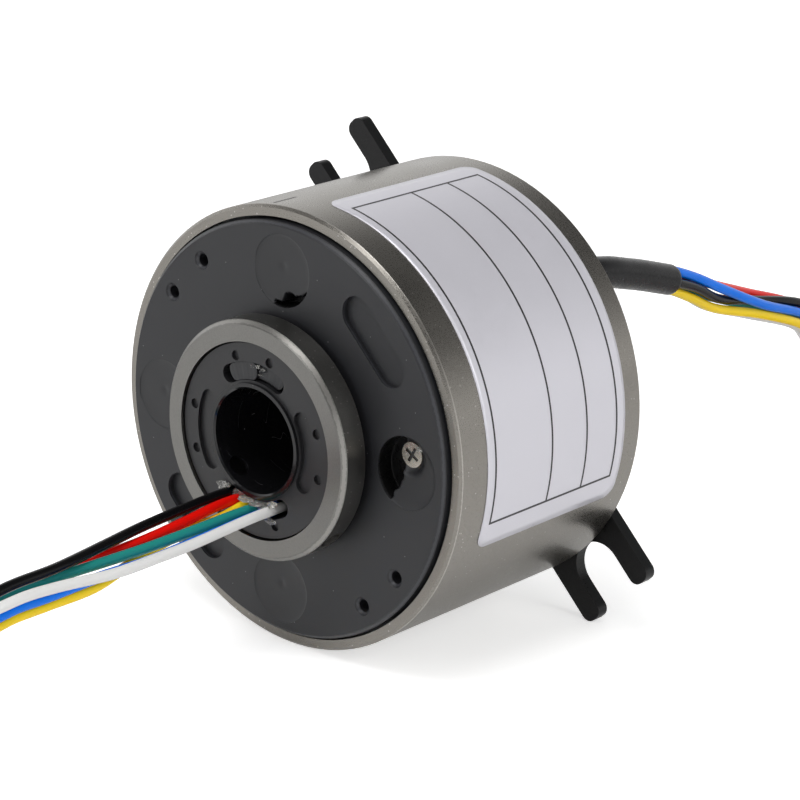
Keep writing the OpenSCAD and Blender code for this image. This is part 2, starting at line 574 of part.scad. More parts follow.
// A cutter over the end of a slot from one place on Y outwards, for potting that stops short or has broken
module slot_end_cut(side, from_y, x0, x1) translate([x0, -insert_r, side > 0 ? 0 : -insert_r])
    cube([x1 - x0, insert_r + from_y, insert_r]);

// Potting round the leads where they leave the insert; the slot's far end is left open
module lead_potting() color("#d9dad6") difference() {
    lead_slot_cut(lead_exit_x, collar_back_x);
    slot_end_cut(-1, potting_end_y, lead_exit_x - cut, collar_back_x + cut);
}

// Potting in the opposite slot, which has broken open at one end
module slot_potting() color("#34353a") difference() {
    kidney_cut(open_slot_angle, insert_face_x + potting_sink, insert_face_x + open_slot_depth);
    slot_end_cut(1, potting_break_y, insert_face_x - cut, collar_back_x);
}

housing();
front_cap();
rear_cap();
cap_screw(1);  // cap_screw_1
cap_screw(2);  // cap_screw_2
cap_screw(3);  // cap_screw_3
cap_screw(4);  // cap_screw_4
pocket_potting(1);  // pocket_potting_1
pocket_potting(2);  // pocket_potting_2
pocket_potting(3);  // pocket_potting_3
pocket_potting(4);  // pocket_potting_4
brush_block(1);  // brush_block_top
brush_block(-1);  // brush_block_bottom
brush(1);  // brush_1
brush(2);  // brush_2
brush(3);  // brush_3
brush(4);  // brush_4
brush(5);  // brush_5
brush(6);  // brush_6
bearing_race(cap_back_x, race_r - race_t, race_r);  // front_bearing_outer
bearing_race(rear_bearing_x, race_r - race_t, race_r);  // rear_bearing_outer
lead_sleeve();
color("#c8202a") stator_lead(stator_seen_red, 0, 2);  // stator_lead_red
color("#1a1a1c") stator_lead(stator_seen_black, 0, 1);  // stator_lead_black
color("#f0f0ee") stator_lead(stator_seen_white, 0, 0);  // stator_lead_white
color("#1f5fb0") stator_lead(stator_seen_blue, 1, 2);  // stator_lead_blue
color("#f0b323") stator_lead(stator_seen_yellow, 1, 1);  // stator_lead_yellow
color("#1d8a80") stator_lead(stator_seen_green, 1, 0);  // stator_lead_green
color("#8a8a8a") coil(stator_coil_at);  // stator_coil
color("#202022") coil_tie(stator_coil_at, -1);  // stator_coil_tie
rotor_sleeve();
rotor_head();
rotor_core();
contact_ring(1);  // ring_1
contact_ring(2);  // ring_2
contact_ring(3);  // ring_3
contact_ring(4);  // ring_4
contact_ring(5);  // ring_5
contact_ring(6);  // ring_6
bearing_race(cap_back_x, core_r, core_r + race_t);  // front_bearing_inner
bearing_race(rear_bearing_x, core_r, core_r + race_t);  // rear_bearing_inner
ball_cage(cap_back_x);  // front_ball_cage
ball_cage(rear_bearing_x);  // rear_ball_cage
retaining_ring();
insert();
collar();
grub_screw(1);  // grub_screw_1
grub_screw(2);  // grub_screw_2
lead_potting();
slot_potting();
color("#1a1a1c") rotor_lead(rotor_seen_black, 1, 2);  // rotor_lead_black
color("#c8202a") rotor_lead(rotor_seen_red, 1, 0);  // rotor_lead_red
color("#f0b323") rotor_lead(rotor_seen_yellow, 0, 0);  // rotor_lead_yellow
color("#1d8a80") rotor_lead(rotor_seen_green, 1, 1);  // rotor_lead_green
color("#1f5fb0") rotor_lead(rotor_seen_blue, 0, 1);  // rotor_lead_blue
color("#f0f0ee") rotor_lead(rotor_seen_white, 0, 2);  // rotor_lead_white
color("#8a8a8a") coil(rotor_coil_at);  // rotor_coil
color("#202022") coil_tie(rotor_coil_at, 1);  // rotor_coil_tie
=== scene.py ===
"""Through-bore slip ring, 54 mm across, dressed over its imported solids. All lengths are in metres.

The sections follow the ring as it is put together: the stator's tube and its label, the caps with their
potted screws, the brush gear and bearings, the rotor with its collar, then the leads and their coils.
"""
import math

import bmesh
import bpy
import numpy as np
from mathutils import Matrix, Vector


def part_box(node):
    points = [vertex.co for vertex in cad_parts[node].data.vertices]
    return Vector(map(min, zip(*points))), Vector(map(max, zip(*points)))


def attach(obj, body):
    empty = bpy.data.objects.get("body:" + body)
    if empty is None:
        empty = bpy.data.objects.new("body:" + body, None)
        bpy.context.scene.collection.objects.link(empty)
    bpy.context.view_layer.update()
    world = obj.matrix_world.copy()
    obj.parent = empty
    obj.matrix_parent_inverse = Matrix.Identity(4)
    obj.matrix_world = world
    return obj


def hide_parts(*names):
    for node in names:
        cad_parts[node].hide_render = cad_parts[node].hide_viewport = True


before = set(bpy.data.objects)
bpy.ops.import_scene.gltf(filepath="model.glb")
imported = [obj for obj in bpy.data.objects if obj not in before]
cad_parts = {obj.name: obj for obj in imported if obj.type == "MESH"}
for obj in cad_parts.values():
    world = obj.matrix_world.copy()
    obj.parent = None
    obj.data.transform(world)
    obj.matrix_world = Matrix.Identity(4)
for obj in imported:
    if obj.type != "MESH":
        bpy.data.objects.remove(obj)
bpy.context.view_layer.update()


# Stator tube
# A turned aluminium tube with a bead-blasted, warm grey finish. Both outer edges are chamfered, and the
# lighter band along each of them is partly wear and partly a painted highlight.
MM = 0.001
HOUSING_R = 27 * MM
HOUSING_L = 33 * MM
EDGE = 0.35 * MM


def feed(node, inputs):
    """Gives each input, by its name or place, a number, a colour or a vector, or links an output to it."""
    for name, term in inputs.items():
        if isinstance(term, bpy.types.NodeSocket):
            node.id_data.links.new(term, node.inputs[name])
        else:
            node.inputs[name].default_value = term


def new_node(tree, kind, inputs, **settings):
    """A shader node of one kind, with its settings and its inputs."""
    node = tree.nodes.new("ShaderNode" + kind)
    for name, value in settings.items():
        setattr(node, name, value)
    feed(node, inputs)
    return node


def calculate(tree, operation, *terms):
    """The result of one Math node on its terms."""
    return new_node(tree, "Math", dict(enumerate(terms)), operation=operation).outputs[0]


def blend(tree, share, first, second, kind="RGBA"):
    """The first term where the share is zero, the second where it is one, and their mix between."""
    return new_node(tree, "Mix", {"Factor": share, "A": first, "B": second}, data_type=kind).outputs["Result"]


def noise(tree, where, scale, detail, distortion=0.0):
    """Smooth noise between about 0.3 and 0.7 over a vector."""
    inputs = {"Vector": where, "Scale": scale, "Detail": detail, "Distortion": distortion}
    return new_node(tree, "TexNoise", inputs).outputs["Fac"]


def dots(tree, where, scale, channel, share, size):
    """One inside round dots at the middles of a share of a Voronoi texture's cells, and zero elsewhere. One
    channel of each cell's random colour says whether the cell has a dot."""
    cells = new_node(tree, "TexVoronoi", {"Vector": where, "Scale": scale}).outputs
    draw = new_node(tree, "SeparateColor", {0: cells["Color"]}).outputs[channel]
    has_dot = calculate(tree, "LESS_THAN", draw, share)
    near = calculate(tree, "LESS_THAN", cells["Distance"], size)
    return calculate(tree, "MULTIPLY", has_dot, near)


def new_group(name, inputs, outputs):
    """An empty shader group. Its named inputs have their first values, of which four numbers are a colour and
    three a vector, and each output has its kind. Returns the group and the two ends of what goes inside."""
    group = bpy.data.node_groups.new(name, "ShaderNodeTree")
    kinds = {1: "NodeSocketFloat", 3: "NodeSocketVector", 4: "NodeSocketColor"}
    for title, value in inputs.items():
        kind = kinds[np.size(value)]
        group.interface.new_socket(name=title, in_out="INPUT", socket_type=kind).default_value = value
    for title, kind in outputs.items():
        group.interface.new_socket(name=title, in_out="OUTPUT", socket_type=kind)
    return group, group.nodes.new("NodeGroupInput").outputs, group.nodes.new("NodeGroupOutput")


COLOUR_AND_ROUGHNESS = {"Colour": "NodeSocketColor", "Roughness": "NodeSocketFloat"}


def grain_group():
    """Fine grain: a colour moved up and down by two sizes of noise, with bright specks scattered in it."""
    inputs = {"Colour": (0.2, 0.2, 0.2, 1), "Speck colour": (0.8, 0.8, 0.78, 1), "Grain size": 9000,
              "Grain depth": 0.35, "Speck share": 0.1, "Roughness": 0.4}
    outputs = {**COLOUR_AND_ROUGHNESS, "Height": "NodeSocketFloat"}
    group, given, result = new_group("Fine grain", inputs, outputs)
    where = new_node(group, "TexCoord", {}).outputs["Object"]
    fine = noise(group, where, given["Grain size"], 3)
    cloud = noise(group, where, 180, 4)
    both = calculate(group, "MULTIPLY_ADD", cloud, 0.3, fine)
    centred = calculate(group, "SUBTRACT", both, 0.65)
    depth = calculate(group, "MULTIPLY", given["Grain depth"], 4)
    gain = calculate(group, "MULTIPLY_ADD", centred, depth, 1)
    toned = new_node(group, "VectorMath", {0: given["Colour"], "Scale": gain}, operation="SCALE").outputs[0]
    specks = dots(group, where, 3800, 0, given["Speck share"], 0.32)
    feed(result, {
        "Colour": blend(group, specks, toned, given["Speck colour"]),
        "Roughness": calculate(group, "MULTIPLY_ADD", centred, 0.35, given["Roughness"]),
        "Height": fine,
    })
    return group


GRAIN = grain_group()


def new_material(name):
    """A new material. Returns it, its node tree and its Principled shader."""
    material = bpy.data.materials.new(name)
    material.use_nodes = True
    return material, material.node_tree, material.node_tree.nodes["Principled BSDF"]


def grained(name, colour, roughness, metallic=0, size=9000, depth=0.35, specks=0.0,
            speck_colour=(0.8, 0.8, 0.78), bump=0.1, bump_depth=0.02 * MM, coat=0.0, specular=0.5):
    """A material with fine grain in its colour, its roughness and its relief."""
    material, tree, shader = new_material(name)
    grain = new_node(tree, "Group", {}, name="grain", node_tree=GRAIN)
    feed(grain, {"Colour": (*colour, 1), "Speck colour": (*speck_colour, 1), "Grain size": size,
                 "Grain depth": depth, "Speck share": specks, "Roughness": roughness})
    relief = new_node(tree, "Bump", {"Strength": bump, "Distance": bump_depth})
    feed(relief, {"Height": grain.outputs["Height"]})
    feed(shader, {"Base Color": grain.outputs["Colour"], "Roughness": grain.outputs["Roughness"],
                  "Normal": relief.outputs["Normal"], "Metallic": metallic, "Coat Weight": coat,
                  "Specular IOR Level": specular})
    return material


def over_grain(material, group, inputs):
    """Puts a group between a grained material's grain and its shader."""
    grain, shader = material.node_tree.nodes["grain"].outputs, material.node_tree.nodes["Principled BSDF"]
    marks = new_node(material.node_tree, "Group", {}, node_tree=group)
    feed(marks, {**inputs, "Colour": grain["Colour"], "Roughness": grain["Roughness"]})
    feed(shader, {"Base Color": marks.outputs["Colour"], "Roughness": marks.outputs["Roughness"]})
    return material


def edge_wear_and_highlight_group():
    """Wear and a painted highlight along turned edges: a mask that is one where X lies in a ragged reach of
    either of two places.
    """
    inputs = {"Colour": (0.2, 0.2, 0.2, 1), "Worn and highlight colour": (0.6, 0.58, 0.55, 1), "Roughness": 0.4,
              "Worn roughness": 0.25, "First edge": 0.0, "Second edge": 0.03, "Reach": 0.0003}
    group, given, result = new_group("Edge wear and painted highlight", inputs, COLOUR_AND_ROUGHNESS)
    where = new_node(group, "TexCoord", {}).outputs["Object"]
    x = new_node(group, "SeparateXYZ", {0: where}).outputs["X"]
    away = [calculate(group, "ABSOLUTE", calculate(group, "SUBTRACT", x, given[edge]))
            for edge in ("First edge", "Second edge")]
    nearest = calculate(group, "MINIMUM", *away)
    reach = calculate(group, "MULTIPLY", given["Reach"], noise(group, where, 2600, 3))
    inside = calculate(group, "LESS_THAN", nearest, calculate(group, "MULTIPLY", reach, 2))
    feed(result, {
        "Colour": blend(group, inside, given["Colour"], given["Worn and highlight colour"]),
        "Roughness": blend(group, inside, given["Roughness"], given["Worn roughness"], "FLOAT"),
    })
    return group


EDGE_WEAR_AND_HIGHLIGHT = edge_wear_and_highlight_group()


def wear_and_highlight_edges(material, edges, reach, worn_and_highlight_colour, worn_roughness):
    """Paints wear and a highlight into a grained material along two turned edges, given by their X."""
    over_grain(material, EDGE_WEAR_AND_HIGHLIGHT, {
        "First edge": edges[0], "Second edge": edges[1], "Reach": reach, "Worn and highlight colour": (*worn_and_highlight_colour, 1),
        "Worn roughness": worn_roughness})


def paint(node, material):
    """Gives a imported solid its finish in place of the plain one."""
    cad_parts[node].material_slots[0].material = material


tube_finish = grained("blasted grey aluminium", (0.262, 0.248, 0.225), 0.3, metallic=1, depth=0.1,
                      specks=0.02, speck_colour=(0.5, 0.48, 0.45), bump=0.12)
# The lighter band along both chamfers is partly wear and partly a painted highlight.
wear_and_highlight_edges(tube_finish, (EDGE, HOUSING_L - EDGE), 0.06 * MM, (0.42, 0.4, 0.37), 0.3)
paint("housing", tube_finish)

# Rating label
# A lavender-white film stuck round the tube, with round corners and a printed black frame of three columns.
# It is left without words. A short witness line is printed on the tube beside it.
LABEL_X = (4.6 * MM, 29.7 * MM)
LABEL_TURN = (3.2, 110.1)
LABEL_CORNER = 1.7 * MM
LABEL_T = 0.08 * MM
LABEL_BACK_R = HOUSING_R + 0.01 * MM
LABEL_FACE_R = LABEL_BACK_R + LABEL_T
FRAME_X = (5.8 * MM, 28.2 * MM)
FRAME_TURN = (9.3, 103.5)
COLUMN_LINES = (15.9 * MM, 22.3 * MM)
LINE_W = 0.28 * MM
PRINT_T = 0.012 * MM
WITNESS_X = (1 * MM, 4.7 * MM)
WITNESS_TURN = (-7.3, -6.8)


def skin(rows, first=None, last=None):
    """A skin over rows of points, each of which runs once round. A fan to the first and to the last point
    closes the two ends. Returns the vertices and the faces."""
    rows = np.asarray(rows, float)
    count, around = rows.shape[:2]
    vertices = rows.reshape(-1, 3)
    start = np.arange(count - 1)[:, None] * around
    here, beside = np.arange(around)[None, :], (np.arange(around)[None, :] + 1) % around
    quads = np.stack([start + here, start + beside, start + around + beside, start + around + here], axis=2)
    faces = quads.reshape(-1, 4).tolist()
    for row, tip in ((0, first), (count - 1, last)):
        if tip is not None:
            centre = np.full(around, len(vertices))
            vertices = np.vstack([vertices, tip])
            ends = row * around + here[0], row * around + beside[0]
            fan = (ends[1], ends[0], centre) if row == 0 else (ends[0], ends[1], centre)
            faces += np.stack(fan, axis=1).tolist()
    return vertices, faces


def joined(parts):
    """Several sets of vertices and faces as one."""
    vertices, faces, count = [], [], 0
    for points, sides in parts:
        vertices.append(points)
        faces += [[count + k for k in side] for side in sides]
        count += len(points)
    return np.vstack(vertices), faces


def outward(mesh, merge=0.0):
    """Turns a mesh's faces outwards, once the corners within the merging distance are made one."""
    work = bmesh.new()
    work.from_mesh(mesh)
    if merge:
        bmesh.ops.remove_doubles(work, verts=work.verts, dist=merge)
    bmesh.ops.recalc_face_normals(work, faces=work.faces)
    work.to_mesh(mesh)
    work.free()
    return mesh


def new_mesh(name, vertices, faces):
    """A mesh with its faces outwards."""
    mesh = bpy.data.meshes.new(name)
    mesh.from_pydata(np.asarray(vertices).tolist(), [], faces)
    return outward(mesh)


def in_scene(name, data):
    """An object that shows a mesh, a lamp or a camera. It stands at the origin."""
    thing = bpy.data.objects.new(name, data)
    bpy.context.scene.collection.objects.link(thing)
    return thing


def add_piece(name, vertices, faces, material, body, smooth=True):
    """Makes a mesh object whose place is in its mesh, and rides it on a body."""
    mesh = new_mesh(name, vertices, faces)
    mesh.materials.append(material)
    if smooth:
        mesh.shade_smooth()
    piece = in_scene(name, mesh)
    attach(piece, body)
    return piece


def round_rectangle(half_long, half_wide, corner, steps):
    """The outline of a rectangle with quarter-circle corners, as points that run once round its middle."""
    turn = np.linspace(0, np.pi / 2, steps)
    arc = corner * np.stack([np.cos(turn), np.sin(turn)], axis=1)
    sides = []
    for quarter, (u, v) in enumerate(((1, 1), (-1, 1), (-1, -1), (1, -1))):
        c, s = math.cos(quarter * math.pi / 2), math.sin(quarter * math.pi / 2)
        centre = np.array([u * (half_long - corner), v * (half_wide - corner)])
        sides.append(centre + arc @ np.array([[c, s], [-s, c]]))
    return np.vstack(sides)


def wrapped_film(x_ends, turn_ends, inner_r, thickness, corner):
    """A thin film wrapped on a cylinder. Its top is the outline scaled down to its middle in even steps, each
    point then laid round the axis at the angle that its distance along the wrap gives."""
    corner_points, edge_points, rings, smallest = 8, 40, 25, 0.04
    x_mid, turn_mid = sum(x_ends) / 2, math.radians(sum(turn_ends) / 2)
    half_x = (x_ends[1] - x_ends[0]) / 2
    half_wrap = math.radians(turn_ends[1] - turn_ends[0]) / 2 * inner_r
    outline = round_rectangle(half_x, half_wrap, corner, corner_points)
    following = np.roll(outline, -1, axis=0)
    step = np.linspace(0, 1, edge_points, endpoint=False)[None, :, None]
    outline = (outline[:, None] * (1 - step) + following[:, None] * step).reshape(-1, 2)
    outline = outline[np.linalg.norm(outline - np.roll(outline, 1, axis=0), axis=1) > 1e-7]
    shrink = np.linspace(smallest, 1, rings)
    scale = np.concatenate([shrink, [1], shrink[::-1]])
    height = np.concatenate([np.full(rings, thickness), np.zeros(rings + 1)])
    flat = scale[:, None, None] * outline[None]
    angle = turn_mid + flat[..., 1] / inner_r
    radius = inner_r + height[:, None]
    rows = np.stack([x_mid + flat[..., 0], -radius * np.sin(angle), radius * np.cos(angle)], axis=2)
    tips = [(x_mid, -r * math.sin(turn_mid), r * math.cos(turn_mid)) for r in (inner_r + thickness, inner_r)]
    return skin(rows, *tips)


def printed_line(x_ends, turn_ends, inner_r):
    """A printed line: a rectangle of the line's width and thickness, swept round the axis in steps of about a
    degree, so that it follows the wrap closely."""
    steps = int(turn_ends[1] - turn_ends[0]) + 2
    turn = np.radians(np.linspace(*turn_ends, steps))[:, None]
    x = np.broadcast_to(np.array([x_ends[0], x_ends[1], x_ends[1], x_ends[0]]), (steps, 4))
    r = inner_r + PRINT_T * np.array([[0, 0, 1, 1]])
    rows = np.stack([x, -r * np.sin(turn), r * np.cos(turn)], axis=2)
    return skin(rows, rows[0].mean(axis=0), rows[-1].mean(axis=0))


label_film = grained("label film", (0.66, 0.65, 0.7), 0.42, metallic=0.35, size=2200, depth=0.01, bump=0.0,
                     coat=0.1)
label_shape = wrapped_film(LABEL_X, LABEL_TURN, LABEL_BACK_R, LABEL_T, LABEL_CORNER)
add_piece("label", *label_shape, label_film, "stator")
line_turn = math.degrees(LINE_W / LABEL_FACE_R)
lines = [((x, x + LINE_W), FRAME_TURN) for x in (FRAME_X[0], *COLUMN_LINES, FRAME_X[1] - LINE_W)]
lines += [(FRAME_X, (turn, turn + line_turn)) for turn in (FRAME_TURN[0], FRAME_TURN[1] - line_turn)]
ink = grained("label ink", (0.02, 0.018, 0.02), 0.45, depth=0.1)
add_piece("label_frame", *joined([printed_line(x, turn, LABEL_FACE_R) for x, turn in lines]), ink, "stator",
          smooth=False)
add_piece("witness_line", *printed_line(WITNESS_X, WITNESS_TURN, HOUSING_R), ink, "stator", smooth=False)

# Front cap and rear cap
# Both are moulded in glass-filled plastic and pressed into the tube. The front cap is slate black and matt,
# and the rear cap, with the two forks that hold the stator still, is a deeper, glossier black. Its flange
# lies wholly behind the tube, so only the forks show past it.
CAP_FACE_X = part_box("front_cap")[0][0]
CAP_EDGE = 0.25 * MM
FLANGE_R = 24.8 * MM
FLANGE_X = (32.9 * MM, 35.3 * MM)
FLANGE_CLEAR_R = HOUSING_R + 0.6 * MM
FORK_SIDE = 6.41 * MM
FORK_TURNS = (45, 225)
cap_finish = grained("slate black moulding", (0.0135, 0.014, 0.0165), 0.46, size=6500, depth=0.2,
                     specks=0.0015, speck_colour=(0.16, 0.16, 0.16), bump=0.12)
# A lighter, bluish band along the face's rounded edge is a painted highlight.
wear_and_highlight_edges(cap_finish, (CAP_FACE_X + CAP_EDGE, 1), 0.1 * MM, (0.035, 0.036, 0.042), 0.38)
paint("front_cap", cap_finish)


def flange_cutter(first, last):
    """A prism along X that covers the ring outside the narrow flange, from the side of one fork round to the
    side of the next. Its two ends are flat and lie along the forks' sides, so its arcs start where a line at
    the forks' half width crosses the inner and the outer circle."""
    outline = []
    for radius, way in ((FLANGE_R, 1), (FLANGE_CLEAR_R, -1)):
        clear = math.asin(FORK_SIDE / radius)
        turn = np.linspace(math.radians(first) + clear, math.radians(last) - clear, 97)[::way]
        outline.append(np.stack([radius * np.cos(turn), radius * np.sin(turn)], axis=1))
    outline = np.vstack(outline)
    here = np.arange(len(outline))
    beside, over = np.roll(here, -1), len(outline)
    vertices = np.vstack([np.column_stack([np.full(over, x), outline]) for x in FLANGE_X])
    sides = np.stack([here, beside, over + beside, over + here], axis=1).tolist()
    return vertices, [here.tolist(), (over + here[::-1]).tolist(), *sides]


def narrow_rear_cap(material):
    """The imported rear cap, its flange cut back until it lies behind the tube. The forks stay as they are."""
    whole_mesh = outward(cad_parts["rear_cap"].data.copy(), merge=0.0005 * MM)
    whole_cap = in_scene("whole rear cap", whole_mesh)
    cutters = []
    for first, last in (FORK_TURNS, (FORK_TURNS[1], FORK_TURNS[0] + 360)):
        cutter = in_scene("flange cutter", new_mesh("flange cutter", *flange_cutter(first, last)))
        cut = whole_cap.modifiers.new("narrow", "BOOLEAN")
        cut.operation, cut.solver, cut.object = "DIFFERENCE", "EXACT", cutter
        cutters.append(cutter)
    mesh = bpy.data.meshes.new_from_object(whole_cap.evaluated_get(bpy.context.evaluated_depsgraph_get()))
    for helper in (whole_cap, *cutters):
        bpy.data.objects.remove(helper)
    mesh.materials.clear()
    mesh.materials.append(material)
    mesh.shade_flat()
    piece = in_scene("rear_cap_moulding", mesh)
    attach(piece, "stator")
    return piece


rear_finish = grained("black moulding", (0.006, 0.006, 0.0065), 0.34, size=5200, bump=0.06, specular=0.25)
rear_cap = narrow_rear_cap(rear_finish)
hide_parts("rear_cap")

# Potted screws
# Four screws hold the two caps together through the pockets of the front cap, which are filled with slate
# resin. The resin of the upper pocket is chipped, and that of the right one has half run out.
POCKET_R = 4.39 * MM
POCKET_AT = 19.7 * MM
POCKET_DEPTH = 2.2 * MM
SCREW_OFFSET = 2 * MM
SCREW_HEAD_R = 1.5 * MM
SCREW_HEAD_DEPTH = 0.9 * MM
RESIN_DEPTH = 0.08 * MM
RESIN_CLIMB = 0.07 * MM
DIMPLE_AT = 0.5 * MM
DIMPLE_R = 0.5 * MM
DIMPLE_DEPTH = 0.1 * MM
# The wall and floor films below are near black: painted shade in the hollows where resin has gone.
WALL_SHADE_FILM = 0.13 * MM
WALL_SHADE_FILM_DEPTH = 0.12 * MM
FLOOR_SHADE_FILM = 0.1 * MM
TOP_CHIP = ((-4.5, -5.2), (-1.35, -4.4), (-1.15, -4.0), (0, -3.85), (0.35, -2.95), (1, -2.6), (1.9, -2.85),
            (2.8, -2.75), (3.6, -2.2), (4.5, -1.7))
RIGHT_CHIP = ((-4.5, -2.4), (-3.8, -2.5), (-2.6, -2.15), (-2.1, -1.55), (-0.7, -1.0), (0.7, -1.25),
              (3.3, -1.1), (4.5, -0.7))
screw_finish = grained("plated screw", (0.5, 0.46, 0.41), 0.2, metallic=1, size=3000, depth=0.08, bump=0.05)
resin_matt = grained("slate resin", (0.0115, 0.012, 0.014), 0.4, size=1500, depth=0.15, bump=0.06)
# Where the resin has broken away, this near-black film lines the hollow's floor and wall as painted shade.
void_shade_resin = grained("bare resin with painted shade", (0.004, 0.004, 0.004), 0.3, size=900, depth=0.3, bump=0.25,
                      bump_depth=0.1 * MM, specular=0.15)


def step_down(distance, sharpness):
    """An S-shaped step: one where the distance is well below zero, and zero where it is well above."""
    return 1 / (1 + np.exp(distance / sharpness))


def chip(along, across, line):
    """One where resin has broken away past a line given in millimetres, and zero elsewhere. A few small sines
    make the line ragged."""
    points = np.array(line) * MM
    edge = np.interp(along, points[:, 0], points[:, 1])
    edge = edge + 0.05 * MM * np.sin(along * 5200) + 0.03 * MM * np.sin(along * 11300 + 1)
    return step_down(across - edge, 0.07 * MM)


def pocket_resin(number, y, z, broken, dish):
    """A round plug with a flat back, as a function of the distance from its middle and the turn round it. Its
    face is a shallow dish that climbs at the wall, with a small dimple near its middle, less what has broken
    away. There, a thin film lies on the pocket's floor and wall, near black as painted shade for the hollow."""
    rho = POCKET_R * np.concatenate([np.linspace(0.02, 0.7, 34), np.linspace(0.72, 1, 30)])[:, None]
    turn = np.linspace(0, 2 * np.pi, 260, endpoint=False)
    right, up = rho * np.cos(turn), rho * np.sin(turn)
    climb = RESIN_CLIMB * np.exp((rho - POCKET_R) / (0.25 * MM))
    ripple = 0.02 * MM * np.sin(900 * right + 1.3 * number) * np.cos(1100 * up)
    dimple = DIMPLE_DEPTH * np.exp(-(np.hypot(right, up - DIMPLE_AT) / DIMPLE_R) ** 2)
    depth = RESIN_DEPTH + dish * (1 - (rho / POCKET_R) ** 2) - climb + ripple + dimple
    if number == 2:
        from_head = np.hypot(right, up - SCREW_OFFSET) - SCREW_HEAD_R - 0.55 * MM
        sunk = step_down(from_head, 0.16 * MM)
        depth = depth * (1 - sunk) + (SCREW_HEAD_DEPTH + 0.25 * MM) * sunk
    on_wall = step_down(POCKET_R - WALL_SHADE_FILM - rho, 0.03 * MM)
    bare_depth = (POCKET_DEPTH - FLOOR_SHADE_FILM) * (1 - on_wall) + WALL_SHADE_FILM_DEPTH * on_wall
    gone = broken(right, up)
    depth = depth * (1 - gone) + bare_depth * gone
    face = np.stack([CAP_FACE_X + depth, y - right, z + up], axis=2)
    back = face[::-1].copy()
    back[..., 0] = CAP_FACE_X + POCKET_DEPTH
    middle = [(CAP_FACE_X + depth[0].mean(), y, z), (CAP_FACE_X + POCKET_DEPTH, y, z)]
    vertices, faces = skin(np.concatenate([face, back]), *middle)
    plug = add_piece(f"pocket_resin_{number}", vertices, faces, resin_matt, "stator")
    plug.data.materials.append(void_shade_resin)
    glossy = np.zeros(len(faces), int)
    bare = (gone[:-1] > 0.12).reshape(-1)
    glossy[:len(bare)] = bare
    plug.data.polygons.foreach_set("material_index", glossy)
    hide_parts(f"pocket_potting_{number}")


def whole(right, up):
    """Nothing has broken away."""
    return np.zeros(np.broadcast(right, up).shape)


pocket_resin(1, 0, POCKET_AT, lambda right, up: chip(right, up, TOP_CHIP), 0.16 * MM)
pocket_resin(2, -POCKET_AT, 0, lambda right, up: chip(up, right, RIGHT_CHIP), 0.35 * MM)
pocket_resin(3, 0, -POCKET_AT, whole, 0.24 * MM)
pocket_resin(4, POCKET_AT, 0, whole, 0.05 * MM)
for number in range(1, 5):
    paint(f"cap_screw_{number}", screw_finish)


def drop(face_x, place, radii, lumps, phase):
    """A drop of glue on a face, its place and its three radii given in millimetres and its X counted from the
    face: a ball stretched to the radii, with a slow wave of the two angles added to its size."""
    steps = 28
    centre, radii = np.multiply(place, MM) + (face_x, 0, 0), np.multiply(radii, MM)
    polar = np.linspace(0, np.pi, steps + 2)[1:-1, None]
    turn = np.linspace(0, 2 * np.pi, 2 * steps, endpoint=False)[None, :]
    slow, quick = np.sin(2 * turn + 3 * polar + phase) * np.sin(polar), np.sin(5 * turn - phase)
    swell = 1 + lumps * slow + lumps / 2 * quick
    sideways = np.sin(polar)
    unit = np.stack([sideways * np.cos(turn), sideways * np.sin(turn), np.cos(polar) + 0 * turn], axis=2)
    tips = [centre + (0, 0, side * radii[2]) for side in (1, -1)]
    return skin(centre + unit * swell[..., None] * radii, *tips)


clear_glue, _, shader = new_material("clear glue")
feed(shader, {"Base Color": (0.8, 0.79, 0.75, 1), "Roughness": 0.06, "Transmission Weight": 0.85,
              "IOR": 1.48})
smear_shape = drop(CAP_FACE_X, (0.45, -21.3, 3.2), (0.4, 0.5, 0.28), 0.2, 2.0)
smear = add_piece("resin_smear", *smear_shape, clear_glue, "stator")

# Brush gear and bearings
# Two glass-epoxy blocks carry three hairpins of gold-plated spring wire each. Two thin steel bearings with
# brass cages carry the rotor. All of it is closed in by the caps.
for side in ("top", "bottom"):
    epoxy = grained(f"{side} epoxy glass", (0.2, 0.13, 0.05), 0.5, size=4000, depth=0.4)
    paint(f"brush_block_{side}", epoxy)
brush_gold = grained("gold-plated wire", (0.85, 0.6, 0.22), 0.22, metallic=1, depth=0.1)
race_steel = grained("bearing steel", (0.58, 0.58, 0.6), 0.18, metallic=1, size=12000, depth=0.08)
cage_brass = grained("cage brass", (0.7, 0.48, 0.2), 0.3, metallic=1, depth=0.15)
for number in range(1, 7):
    paint(f"brush_{number}", brush_gold)
    paint(f"ring_{number}", brush_gold)
for end in ("front", "rear"):
    paint(f"{end}_bearing_outer", race_steel)
    paint(f"{end}_bearing_inner", race_steel)
    paint(f"{end}_ball_cage", cage_brass)
paint("retaining_ring", grained("spring steel", (0.2, 0.2, 0.21), 0.35, metallic=1, depth=0.2))

# Rotor body
# The sleeve through the middle and the body round it are moulded in glossy black plastic. The shaft that was
# tried in the bore has left fine scratches in it, and dust.


